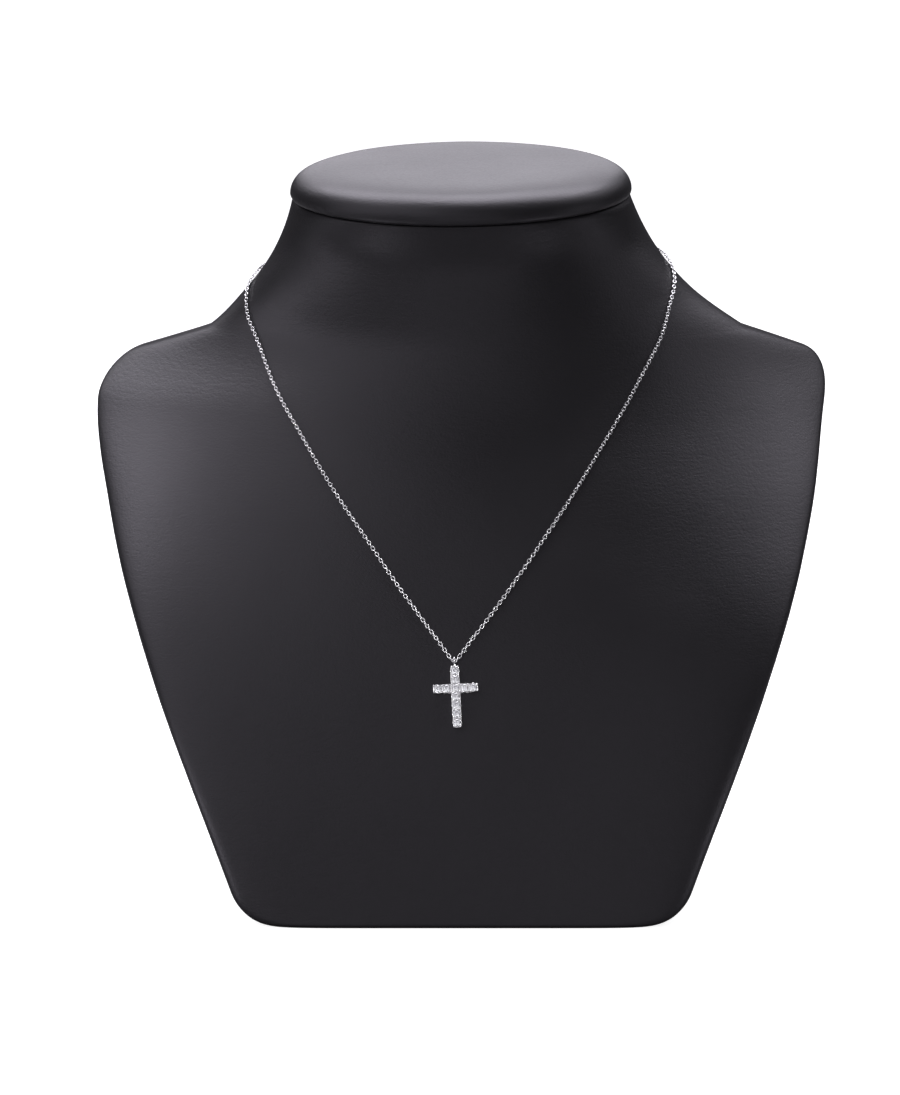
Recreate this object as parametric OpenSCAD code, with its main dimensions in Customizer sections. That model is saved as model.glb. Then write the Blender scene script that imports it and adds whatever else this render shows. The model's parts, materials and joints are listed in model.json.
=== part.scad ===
// Cross pendant on a fine cable chain, shown on a neck bust.
// Millimetres. Seen from the front, +X is to the right, +Y is to the back and +Z is up.
// The origin is on the ground, under the middle of the bust.

/* [Neck bust] */
// Full width across the shoulders
bust_w = 199.8; // [180:0.2:220]
// Height of the form, from the base to the top of the neck
form_h = 181; // [170:0.5:195]
// Depth of the form, from the front edge of the base to the back
form_d = 144; // [130:0.5:160]
// Width of the flat base between its rounded corners
base_w = 96; // [84:0.5:110]
// Radius of the two lower corners
base_r = 13.5; // [10:0.5:18]
// Height of the widest line of the shoulders
shoulder_h = 126.6; // [120:0.5:135]
// Radius of the shoulder corners
shoulder_r = 12.5; // [9:0.5:15]
// Width at the root of the neck, where the shoulder line meets it
root_w = 147.6; // [136:0.2:154]
// Width of the neck under its cap
neck_w = 92.2; // [84:0.2:98]
// Depth of the neck under its cap
neck_d = 76; // [70:0.5:82]
// How far the neck stands behind the middle of the base
neck_back = 31; // [27:0.5:34]
// Forward tilt of the neck's top, in degrees
neck_tilt = 6; // [0:0.5:9]
// Sideways tilt of the neck's top, its right side up, in degrees
neck_roll = 0.8; // [0:0.1:2]

/* [Neck cap] */
// How far the cap stands out beyond the neck at the sides
cap_lip = 0.6; // [0.2:0.1:2]
// How far the cap stands out beyond the neck at the front and back
cap_lip_d = 3; // [1:0.1:4]
// Thickness of the cap at its rim
cap_t = 7.5; // [6:0.1:9]
// Rise of the padded top above the rim
cap_crown = 0.8; // [0:0.1:2]
// Seam between the cap and the neck
cap_seam = 0.3; // [0.2:0.05:0.6]

/* [Chain] */
// Diameter of the chain
chain_d = 1.0; // [0.8:0.05:1.2]
// Gap between the chain and the leather
chain_gap = 0.25; // [0.2:0.05:0.5]

/* [Clasp] */
// Outer diameter of the spring ring
clasp_d = 5.4; // [4.6:0.1:6.5]
// Wire of the spring ring
clasp_wire = 1.0; // [0.8:0.05:1.2]
// Outer diameter of the end eyes
eye_d = 1.8; // [1.6:0.05:2.2]
// Wire of the end eyes
eye_wire = 0.4; // [0.3:0.05:0.5]

/* [Cross] */
// Diameter of each stone
stone_d = 2.1; // [1.8:0.05:2.15]
// Distance between neighbouring stones
stone_pitch = 2.3; // [2.26:0.01:2.5]
// Thickness of the metal from its back to the stones' girdles
setting_t = 1.25; // [1.15:0.05:1.5]
// Wall of each collet outside its seat
collet_wall = 0.12; // [0.1:0.01:0.2]
// Play between a stone and its seat
seat_play = 0.03; // [0.02:0.01:0.05]
// Diameter of the prongs
prong_d = 0.44; // [0.4:0.02:0.5]
// Diameter of the rounded prong heads
prong_head_d = 0.5; // [0.46:0.02:0.54]
// Turn of the cross on the chain, in degrees
cross_roll = 2.7; // [0:0.1:5]
// Gap between the back of the cross and the leather
cross_gap = 0.3; // [0.25:0.05:0.6]

/* [Bail] */
// Outer diameter of the bail ring
bail_d = 2.3; // [2.2:0.05:2.6]
// Wire of the bail ring
bail_wire = 0.46; // [0.36:0.02:0.46]
// Drop from the middle of the bail ring to the top stone
bail_drop = 2.7; // [2.65:0.05:3]

/* [Hidden] */

leather = [0.15, 0.15, 0.16];
white_gold = [0.86, 0.86, 0.88];
diamond = [0.95, 0.97, 1.0];

// Half of the form's sizes, measured from its middle planes
half_w = bust_w / 2;
half_d = form_d / 2;
root_half = root_w / 2;
neck_half = neck_w / 2;
neck_half_d = neck_d / 2;

// Angles of the side line where it meets the base corner and the shoulder corner,
// and of the shoulder's sloping top, from the upright and from the level
side_low = 22;
side_high = 7;
shoulder_slope = 20;
// Slopes of the neck line at its root and under the cap, as width lost for each unit of height
root_flare = 1.45;
top_flare = 0.3;

// Points round one quarter of a section, and their crowding towards the sides
QUARTER = 16;
crowding = 2.5;
// Steps of the outline along the base corner, the side, the shoulder, its top and the neck
CORNER_STEPS = 6;
SIDE_STEPS = 14;
SHOULDER_STEPS = 7;
TOP_STEPS = 3;
NECK_STEPS = 12;

// Cross sections of the form, a row for each station.
// at: share of the form's height.  front, back: middle of the front and of the back, as shares
// of half the depth, front negative.  sweep: how far the front curves back towards the sides,
// and rim: depth of its rolled edge, as shares of half the depth.  edge, back_edge: exponents,
// 2 for an oval and more for a tighter edge.  aside: how far the section stands to the right, in
// shares of half the width, as the wrapped leather does over the right shoulder.
SECTIONS = [
    // at    front    sweep   rim    edge  back   back_edge aside
    [0,     -1.000,  0.000,  0.125,  8,    1.000,  2.6,  0.00],
    [0.193, -0.845,  0.050,  0.139,  8,    1.000,  2.6,  0.00],
    [0.387, -0.650,  0.155,  0.140,  7,    1.000,  2.4,  0.00],
    [0.552, -0.420,  0.330,  0.110,  6.5,  1.000,  2.3,  0.00],
    [0.691, -0.215,  0.540,  0.080,  6,    1.000,  2.2,  0.00],
    [0.790, -0.110,  0.780,  0.080,  4,    1.000,  2.1,  0.042],
    [0.856, -0.075,  0.790,  0.210,  3,    0.986,  2,    0.022],
    [0.928, -0.062,  0.465,  0.360,  2.2,  0.972,  2,    0.01],
];
AT = 0; FRONT = 1; SWEEP = 2; RIM = 3; EDGE = 4; BACK = 5; BACK_EDGE = 6; ASIDE = 7;
// The last section is the top of the neck, a plain oval
neck_row = [1, (neck_back - neck_half_d) / half_d, 0, neck_half_d / half_d, 2,
            (neck_back + neck_half_d) / half_d, 2, 0];
STATIONS = concat(SECTIONS, [neck_row]);

// Cubic from a to b over a length h, with slopes ma and mb, at share t
function ease(a, b, ma, mb, h, t) =
    a * (2*t*t*t - 3*t*t + 1) + h * ma * (t*t*t - 2*t*t + t)
    + b * (3*t*t - 2*t*t*t) + h * mb * (t*t*t - t*t);

// Index of the last row whose column `key` is not above v
function row_below(rows, key, v, i = 0) =
    i >= len(rows) - 2 || rows[i + 1][key] > v ? i : row_below(rows, key, v, i + 1);

// Slope of a column against the key column at row i
function slope(rows, key, col, i) =
    let (a = max(0, i - 1), b = min(len(rows) - 1, i + 1))
    (rows[b][col] - rows[a][col]) / (rows[b][key] - rows[a][key]);

// Smooth value of a column at key value v
function smooth_at(rows, key, col, v) =
    let (i = row_below(rows, key, v), h = rows[i + 1][key] - rows[i][key])
    ease(rows[i][col], rows[i + 1][col], slope(rows, key, col, i), slope(rows, key, col, i + 1),
         h, (v - rows[i][key]) / h);

// The side outline of the form as [half width, height], from the base to the neck
corner_arc = [for (i = [0:CORNER_STEPS]) let (a = -90 + i * (90 - side_low) / CORNER_STEPS)
    [base_w / 2 + base_r * cos(a), base_r + base_r * sin(a)]];
shoulder_arc = [for (i = [0:SHOULDER_STEPS])
    let (a = -side_high + i * (90 - shoulder_slope + side_high) / SHOULDER_STEPS)
    [half_w - shoulder_r + shoulder_r * cos(a), shoulder_h + shoulder_r * sin(a)]];
arc_low = corner_arc[CORNER_STEPS];
arc_high = shoulder_arc[0];
slope_top = shoulder_arc[SHOULDER_STEPS];
side_h = arc_high[1] - arc_low[1];
side_line = [for (i = [1:SIDE_STEPS - 1]) let (t = i / SIDE_STEPS)
    [ease(arc_low[0], arc_high[0], tan(side_low), tan(side_high), side_h, t),
     arc_low[1] + side_h * t]];
root_h = slope_top[1] + (slope_top[0] - root_half) * tan(shoulder_slope);
slope_line = [for (i = [1:TOP_STEPS]) let (t = i / TOP_STEPS)
    [slope_top[0] + (root_half - slope_top[0]) * t, slope_top[1] + (root_h - slope_top[1]) * t]];
neck_line = [for (i = [1:NECK_STEPS]) let (t = i / NECK_STEPS)
    [ease(root_half, neck_half, -root_flare, -top_flare, form_h - root_h, t),
     root_h + (form_h - root_h) * t]];
OUTLINE = concat(corner_arc, side_line, shoulder_arc, slope_line, neck_line);

// Half width of the form at height z
function half_width(z) =
    let (i = row_below(OUTLINE, 1, z), a = OUTLINE[i], b = OUTLINE[i + 1])
    a[0] + (b[0] - a[0]) * (min(z, form_h) - a[1]) / (b[1] - a[1]);

// One section of the form at height z, as a list of its own measures
function section(z) =
    let (v = [for (col = [FRONT:ASIDE]) smooth_at(STATIONS, AT, col, z / form_h)],
         w = half_width(z),
         sweep = v[SWEEP - 1] * half_d * pow(w / half_w, 2),
         front = v[FRONT - 1] * half_d)
    [w, front, sweep, v[RIM - 1] * half_d, v[EDGE - 1], v[BACK - 1] * half_d, v[BACK_EDGE - 1],
     v[ASIDE - 1] * half_w, z];

// Height of a point of the neck after its top is tilted, which starts above the shoulders
tilt_from = 0.83 * form_h;
function tilted(x, y, z) =
    let (k = max(0, min(1, (z - tilt_from) / (form_h - tilt_from))))
    z + (tan(neck_tilt) * (y - neck_back) + tan(neck_roll) * x) * k * k * (3 - 2 * k);

// Point of a section s at share u of its half width, on the front or on the back
function on_section(s, u, is_back) =
    let (a = min(1, abs(u)), side = s[1] + s[2] + s[3],
         y = is_back ? side + (s[5] - side) * pow(1 - pow(a, s[6]), 1 / s[6])
                     : s[1] + s[2] * a * a + s[3] * (1 - pow(1 - pow(a, s[4]), 1 / s[4])),
         x = s[0] * u + s[7])
    [x, y, tilted(x, y, s[8])];

// Shares u along one quarter of a section, from the middle to the side
QUARTER_U = [for (i = [0:QUARTER]) 1 - pow(1 - i / QUARTER, crowding)];

// One closed section, from the left side over the front to the right and over the back
function ring(z) = let (s = section(z)) concat(
    [for (i = [0:QUARTER - 1]) on_section(s, -QUARTER_U[QUARTER - i], false)],
    [for (i = [0:QUARTER - 1]) on_section(s, QUARTER_U[i], false)],
    [for (i = [0:QUARTER - 1]) on_section(s, QUARTER_U[QUARTER - i], true)],
    [for (i = [0:QUARTER - 1]) on_section(s, -QUARTER_U[i], true)]);

// Faces of a skin over `rows` rings of n points, closed by a flat face at each end
function skin(rows, n) = concat(
    [[for (i = [0:n - 1]) i]],
    [for (j = [0:rows - 2]) for (i = [0:n - 1]) let (k = (i + 1) % n, a = j * n, b = a + n)
        [a + i, b + i, b + k, a + k]],
    [[for (i = [n - 1:-1:0]) (rows - 1) * n + i]]);

// The leather covered form: base, chest, shoulders and neck
module bust() {
    rings = [for (level = OUTLINE) ring(level[1])];
    color(leather)
    polyhedron([for (r = rings) each r], skin(len(rings), 4 * QUARTER), 6);
}

// The padded oval cap over the neck's open top: points round it, and steps of its profile
CAP_POINTS = 60;
LOW_STEPS = 3;
HIGH_STEPS = 7;
CROWN_STEPS = 4;
cap_half = neck_half + cap_lip;
cap_half_d = neck_half_d + cap_lip_d;
// Height of the widest line of the rim, the radius under it, and the inset of the upper round
cap_wide_h = 1.2;
cap_low_r = 0.8;
cap_inset = 5.5;
// Rings of the cap as [inset from the widest line, height], a low round, a high round and a crown
cap_profile = concat(
    [for (i = [0:LOW_STEPS - 1]) let (a = 90 * i / LOW_STEPS)
        [cap_low_r * (1 - sin(a)), cap_wide_h * (1 - cos(a))]],
    [for (i = [0:HIGH_STEPS]) let (a = 90 * i / HIGH_STEPS)
        [cap_inset * (1 - cos(a)), cap_wide_h + (cap_t - cap_wide_h) * sin(a)]],
    [for (i = [1:CROWN_STEPS - 1]) let (t = i / CROWN_STEPS)
        [cap_inset + (cap_half_d - cap_inset) * t, cap_t + cap_crown * (1 - pow(1 - t, 2))]]);

module neck_cap() {
    rings = [for (p = cap_profile) [for (i = [0:CAP_POINTS - 1]) let (a = 360 * i / CAP_POINTS)
        [-(cap_half - p[0]) * cos(a), -(cap_half_d - p[0]) * sin(a), p[1]]]];
    color(leather)
    translate([0, neck_back, form_h]) rotate([neck_tilt, -neck_roll, 0]) translate([0, 0, cap_seam])
    polyhedron([for (r = rings) each r], skin(len(rings), CAP_POINTS), 6);
}

// The chain lies over the leather by its gap.  The middles of the clasp's eyes stand beside its
// ring, and the chain ends a little past them.
chain_over = chain_d / 2 + chain_gap;
eye_from_middle = (clasp_d - clasp_wire) / 2 + eye_d / 2;
past_eye = 0.45;
clasp_down = 8.5;
clasp_h = form_h - clasp_down;
clasp_radius = on_section(section(clasp_h), 0, true)[1] - neck_back + chain_over;
chain_end = 180 - atan2(eye_from_middle + eye_d / 2 + past_eye, clasp_radius);

// The chain's route, from the clasp over the left side, down to the bail and up the right side.
// bearing: degrees round the neck from the front, left negative.  down: below the form's top.
// lift: extra height over the leather.  steps: how many rings of the tube to the next row.
ROUTE = [
    // bearing down   lift  steps
    [-chain_end, clasp_down, 0, 3],
    [-152,   11.8,   0,    3],
    [-130,   16.4,   0,    3],
    [-107,   20,     0,    3],
    [-92.5,  21.8,   0,    3],
    [-83.4,  26.1,   0,    2],
    [-76.7,  32.9,   0,    3],
    [-65.9,  42.5,   0,    2],
    [-49,    56.65,  0,    3],
    [-34.6,  70.9,   0,    3],
    [-21.8,  85.2,   0,    3],
    [-11.1,  99.6,   0,    3],
    [-5,     108.8,  0.15, 2],
    [-2.55,  113.05, 0.6,  1],
    [-2,     114.1,  0.68, 1],
    [-1.7,   114.45, 0.7,  1],
    [-1.35,  114.55, 0.7,  1],
    [-1,     114.45, 0.7,  1],
    [-0.7,   114.1,  0.68, 1],
    [-0.15,  113.05, 0.6,  2],
    [2.1,    109.15, 0.15, 3],
    [11.9,   94.7,   0,    3],
    [23,     80.35,  0,    3],
    [36.3,   66,     0,    3],
    [51.2,   51.6,   0,    3],
    [64.9,   37.4,   0,    3],
    [73.9,   27.9,   0,    2],
    [83.1,   21,     0,    2],
    [92,     17.8,   0,    3],
    [108.5,  16.2,   0,    3],
    [131,    13.6,   0,    3],
    [152,    10.4,   0,    3],
    [chain_end,  clasp_down, 0, 0],
];
BEARING = 0; DOWN = 1; LIFT = 2; STEPS = 3;
// The row of the route that lies in the bail
BAIL_ROW = 16;
CHAIN_SIDES = 8;

// Share u of the section s that is seen from the neck's axis at a bearing, found by halving
HALVINGS = 24;
function share_at(s, bearing, is_back, low = 0, high = 1, n = HALVINGS) =
    let (u = (low + high) / 2, side = bearing < 0 ? -1 : 1,
         p = on_section(s, side * u, is_back),
         seen = atan2(side * p[0], neck_back - p[1]),
         past = is_back ? seen < abs(bearing) : seen > abs(bearing))
    n == 0 ? side * u : past ? share_at(s, bearing, is_back, low, u, n - 1)
                             : share_at(s, bearing, is_back, u, high, n - 1);

// Point of the leather at a bearing and a height
function on_leather(bearing, z) =
    let (b = bearing > 180 ? bearing - 360 : bearing,
         s = section(z), side = b < 0 ? -1 : 1, p = on_section(s, side, false),
         is_back = abs(b) > atan2(side * p[0], neck_back - p[1]))
    on_section(s, share_at(s, b, is_back), is_back);

function unit(v) = v / norm(v);
nudge = 0.4;

// Outward direction of the leather at a bearing and a height
function outward(bearing, z) = unit(cross(
    on_leather(bearing + nudge, z) - on_leather(bearing - nudge, z),
    on_leather(bearing, z + nudge) - on_leather(bearing, z - nudge)));

// Point over the leather
function over_leather(bearing, z, h) = on_leather(bearing, z) + h * outward(bearing, z);

// Route rows with their distance along the route in front, in degrees of bearing and way down
function run_to(i) = i == 0 ? 0 : run_to(i - 1)
    + norm([ROUTE[i][BEARING] - ROUTE[i - 1][BEARING], ROUTE[i][DOWN] - ROUTE[i - 1][DOWN]]);
RUN = [for (i = [0:len(ROUTE) - 1]) concat([run_to(i)], ROUTE[i])];

// Middle line of the chain
function chain_at(run) = over_leather(
    smooth_at(RUN, 0, BEARING + 1, run), form_h - smooth_at(RUN, 0, DOWN + 1, run),
    chain_over + smooth_at(RUN, 0, LIFT + 1, run));
chain_runs = [for (i = [0:len(RUN) - 1]) for (k = [0:1:max(1, RUN[i][STEPS + 1]) - 1])
    RUN[i][0] + (i == len(RUN) - 1 ? 0 : (RUN[i + 1][0] - RUN[i][0]) * k / RUN[i][STEPS + 1])];
CHAIN_LINE = [for (run = chain_runs) chain_at(run)];

// Lengths along the middle line, for the loop's real length
function length_to(points, i) = i == 0 ? 0 : length_to(points, i - 1) + norm(points[i] - points[i - 1]);

// One ring of a tube round p, square to the direction `along`
function tube_ring(p, along, r, n) =
    let (e = unit(cross(along, [0, 1, 0])), f = cross(unit(along), e))
    [for (i = [0:n - 1]) let (a = 360 * i / n) p + r * (cos(a) * e + sin(a) * f)];

// The whole chain, from one eye of the clasp to the other
module chain() {
    last = len(CHAIN_LINE) - 1;
    rings = [for (i = [0:last])
        tube_ring(CHAIN_LINE[i], CHAIN_LINE[min(last, i + 1)] - CHAIN_LINE[max(0, i - 1)],
                  chain_d / 2, CHAIN_SIDES)];
    echo(chain_length = length_to(CHAIN_LINE, last), rings = last + 1);
    color(white_gold)
    polyhedron([for (r = rings) each r], skin(len(rings), CHAIN_SIDES), 6);
}

// Sides of round shapes, and of wire rings along their ring
ROUND = 24;
WIRE_ROUND = 48;

// A ring of round wire, lying in the X-Z plane
module wire_ring(outer, wire) {
    rotate([90, 0, 0]) rotate_extrude($fn = WIRE_ROUND)
        translate([(outer - wire) / 2, 0]) circle(d = wire, $fn = ROUND);
}

// The closed spring ring lies on the leather behind the neck, with an eye at each side for the chain
chain_ends = (CHAIN_LINE[0] + CHAIN_LINE[len(CHAIN_LINE) - 1]) / 2;
clasp_behind = over_leather(180, clasp_h, chain_gap + clasp_wire / 2);
clasp_out = outward(180, clasp_h);
clasp_lean = atan2(clasp_out[2], clasp_out[1]);
module clasp() {
    color(white_gold) translate([chain_ends[0], clasp_behind[1], chain_ends[2]])
    rotate([clasp_lean, 0, 0]) {
        wire_ring(clasp_d, clasp_wire);
        for (side = [-1, 1]) translate([side * eye_from_middle, 0, 0]) wire_ring(eye_d, eye_wire);
    }
}

// The bail's middle lies on the chain, and the cross hangs from there along the leather, as it
// leans at the middle of the cross
bail_at = chain_at(RUN[BAIL_ROW][0]);
middle_drop = bail_drop + 2 * stone_pitch;
hang_h = form_h - ROUTE[BAIL_ROW][DOWN] - middle_drop;
hang_dir = outward(ROUTE[BAIL_ROW][BEARING], hang_h);
cross_lean = atan2(-hang_dir[2], -hang_dir[1]);
// Depth of the back of the cross behind the bail's middle
cross_back = chain_over + ROUTE[BAIL_ROW][LIFT] - cross_gap;

module hang() {
    translate(bail_at) rotate([cross_lean, 0, 0]) rotate([0, -cross_roll, 0]) children();
}

// Places of the stones, as steps from the middle stone: up and down the upright, then the arms
UPRIGHT = [2, 1, 0, -1, -2, -3, -4];
ARMS = [-2, -1, 1, 2];
STONES = concat([for (k = UPRIGHT) [0, k]], [for (k = ARMS) [k, 0]]);
function stone_at(i) = [STONES[i][0] * stone_pitch, 0, STONES[i][1] * stone_pitch - middle_drop];

girdle_y = cross_back - setting_t;
seat_r = stone_d / 2 + seat_play;
collet_r = seat_r + collet_wall;
// The collets end a little under the girdles
collet_under = 0.1;
collet_y = girdle_y + collet_under;
// Each seat is a cone down to a step, and a hole through the back.  Cuts run on past the metal.
seat_hole_r = 0.5;
seat_depth = 0.6;
seat_step = 0.06;
cut_over = 1;
cut_join = 0.001;
// The bars are a waist narrower than the collets at each side, and end in a wall past the seats
waist = 0.25;
end_wall = 0.22;
bar_half = collet_r - waist;
bar_end = seat_r + end_wall;
// The prongs stand out a little from the bars' sides and start inside their backs.  Those in the
// inner corners stand at a share of the pitch.  Their heads are centred in front of the girdles.
prong_out = 0.06;
prong_inset = 0.1;
corner_share = 0.443;
head_over = 0.12;
prong_side = bar_half - prong_d / 2 + prong_out;
corner_prong = corner_share * stone_pitch;

// A cylinder or cone along Y, from radius r0 at the depth y0 forward to r1 at y1
module pin(at, r0, r1, y0, y1) {
    translate([at[0], y0, at[2]]) rotate([90, 0, 0])
        cylinder(r1 = r0, r2 = r1, h = y0 - y1, $fn = ROUND);
}

// A prong with a rounded head
module prong(x, z) {
    pin([x, 0, z], prong_d / 2, prong_d / 2, cross_back - prong_inset, girdle_y - head_over);
    translate([x, girdle_y - head_over, z]) sphere(d = prong_head_d, $fn = ROUND);
}

// The seat of one stone: a cone for its pavilion and a hole through the back
module seat(at) {
    pin(at, seat_hole_r, seat_hole_r, cross_back + cut_over, collet_y);
    pin(at, seat_hole_r + seat_step, seat_r, collet_y + seat_depth, collet_y);
    pin(at, seat_r, seat_r, collet_y + cut_join, collet_y - cut_over);
}

// The soldered cross: bars, collets, shared prongs and the bail ring
module cross_setting() {
    up_end = -bail_drop + bar_end;
    down_end = -middle_drop - 4 * stone_pitch - bar_end;
    arm_end = 2 * stone_pitch + bar_end;
    color(white_gold) hang() {
        difference() {
            union() {
                translate([-bar_half, collet_y, down_end])
                    cube([2 * bar_half, cross_back - collet_y, up_end - down_end]);
                translate([-arm_end, collet_y, -middle_drop - bar_half])
                    cube([2 * arm_end, cross_back - collet_y, 2 * bar_half]);
                for (i = [0:len(STONES) - 1])
                    pin(stone_at(i), collet_r, collet_r, cross_back, collet_y);
            }
            for (i = [0:len(STONES) - 1]) seat(stone_at(i));
        }
        for (k = [2.5, 1.5, -1.5, -2.5, -3.5, -4.5], side = [-1, 1])
            prong(side * prong_side, k * stone_pitch - middle_drop);
        for (k = [-2.5, -1.5, 1.5, 2.5], side = [-1, 1])
            prong(k * stone_pitch, side * prong_side - middle_drop);
        for (a = [-1, 1], b = [-1, 1])
            prong(a * corner_prong, b * corner_prong - middle_drop);
        bail();
    }
}

// The bail ring stands across the chain, soldered to the top of the upright by a short foot
foot_w = 0.6;
foot_t = 0.75;
foot_ahead = 0.2;
foot_clear = 0.04;
module bail() {
    rotate([0, 0, 90]) wire_ring(bail_d, bail_wire);
    foot_top = -(bail_d - bail_wire) / 2;
    foot_low = -bail_drop + seat_r + foot_clear;
    translate([-foot_w / 2, girdle_y - foot_ahead, foot_low])
        cube([foot_w, foot_t, foot_top - foot_low]);
}

// A round brilliant cut along Y, its girdle at y = 0 and its table to the front
table_r = 0.29 * stone_d;
star_r = 0.39 * stone_d;
crown_h = 0.155 * stone_d;
star_h = 0.105 * stone_d;
girdle_h = 0.015 * stone_d;
pavilion_h = 0.43 * stone_d;
lower_r = 0.14 * stone_d;
lower_h = 0.31 * stone_d;
// Rings of 8 or 16 points: table, star points, upper and lower girdle, lower points and culet
function round_points(n, r, y, turn) =
    [for (i = [0:n - 1]) let (a = 360 * i / n + turn) [r * sin(a), y, r * cos(a)]];
brilliant_points = concat(
    round_points(8, table_r, -crown_h, 0),
    round_points(8, star_r, -star_h, 22.5),
    round_points(16, stone_d / 2, -girdle_h, 0),
    round_points(16, stone_d / 2, girdle_h, 0),
    round_points(8, lower_r, lower_h, 22.5),
    [[0, pavilion_h, 0]]);
// Where each ring starts in the list of points, after the table
STAR = 8;
UPPER = STAR + 8;
LOWER = UPPER + 16;
POINTED = LOWER + 16;
CULET = POINTED + 8;
brilliant_faces = concat(
    [[for (i = [0:7]) i]],
    [for (i = [0:7]) let (k = (i + 1) % 8) [k, i, STAR + i]],
    [for (i = [0:7]) let (h = (i + 7) % 8) [i, STAR + h, UPPER + 2 * i]],
    [for (i = [0:7]) [i, UPPER + 2 * i, STAR + i]],
    [for (i = [0:7]) [STAR + i, UPPER + 2 * i, UPPER + 2 * i + 1]],
    [for (i = [0:7]) [STAR + i, UPPER + 2 * i + 1, UPPER + (2 * i + 2) % 16]],
    [for (i = [0:15]) let (k = (i + 1) % 16) [UPPER + i, LOWER + i, LOWER + k, UPPER + k]],
    [for (i = [0:7]) [LOWER + 2 * i, POINTED + i, LOWER + 2 * i + 1]],
    [for (i = [0:7]) [LOWER + 2 * i + 1, POINTED + i, LOWER + (2 * i + 2) % 16]],
    [for (i = [0:7]) let (h = (i + 7) % 8) [LOWER + 2 * i, POINTED + h, CULET]],
    [for (i = [0:7]) [LOWER + 2 * i, CULET, POINTED + i]]);

module stone(i) {
    color(diamond) hang() translate([0, girdle_y, 0]) translate(stone_at(i))
        polyhedron(brilliant_points, brilliant_faces, 4);
}

bust();
neck_cap();
chain();
clasp();
cross_setting();
stone(0);  // stone_01
stone(1);  // stone_02
stone(2);  // stone_03
stone(3);  // stone_04
stone(4);  // stone_05
stone(5);  // stone_06
stone(6);  // stone_07
stone(7);  // stone_08
stone(8);  // stone_09
stone(9);  // stone_10
stone(10);  // stone_11
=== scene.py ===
import json
import math
import bmesh
import bpy
from mathutils import Matrix, Vector, noise


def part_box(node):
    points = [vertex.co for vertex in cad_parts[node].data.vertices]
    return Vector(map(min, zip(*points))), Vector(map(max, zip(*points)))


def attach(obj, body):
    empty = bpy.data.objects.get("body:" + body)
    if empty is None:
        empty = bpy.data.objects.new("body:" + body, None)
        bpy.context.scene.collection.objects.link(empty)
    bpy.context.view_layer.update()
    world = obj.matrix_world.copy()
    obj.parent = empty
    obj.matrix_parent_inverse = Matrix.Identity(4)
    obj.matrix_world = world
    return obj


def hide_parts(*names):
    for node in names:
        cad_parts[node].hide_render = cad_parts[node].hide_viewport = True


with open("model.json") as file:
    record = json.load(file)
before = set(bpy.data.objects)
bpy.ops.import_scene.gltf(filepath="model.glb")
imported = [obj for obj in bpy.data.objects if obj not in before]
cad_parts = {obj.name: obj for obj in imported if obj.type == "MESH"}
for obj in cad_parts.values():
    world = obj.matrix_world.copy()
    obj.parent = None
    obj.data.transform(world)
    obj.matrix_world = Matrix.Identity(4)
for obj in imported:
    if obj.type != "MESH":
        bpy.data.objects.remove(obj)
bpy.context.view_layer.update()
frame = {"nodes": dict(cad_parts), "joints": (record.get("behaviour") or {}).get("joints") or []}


# Neck bust
# A hard form of base, chest, shoulders and neck, wrapped in one skin of black leatherette that is
# pulled tight and turned under the base.  Its sections and its side outline are those of the
# solid in the frame, drawn again with closer points.

WARP_SCALE, WARP_BY, DRIFT_SCALE, DOME_SHARE, CREASE_SLOPE = 900, 0.0006, 35, 0.6, 14.0
ROUGH_BASE, ROUGH_DRIFT, ROUGH_DOMES = 0.4, 0.1, 0.06
BLACK, WORN_BLACK = (0.0124, 0.0121, 0.0129, 1), (0.0192, 0.0187, 0.02, 1)


def value_of(socket, value):
    socket.default_value = value


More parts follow.
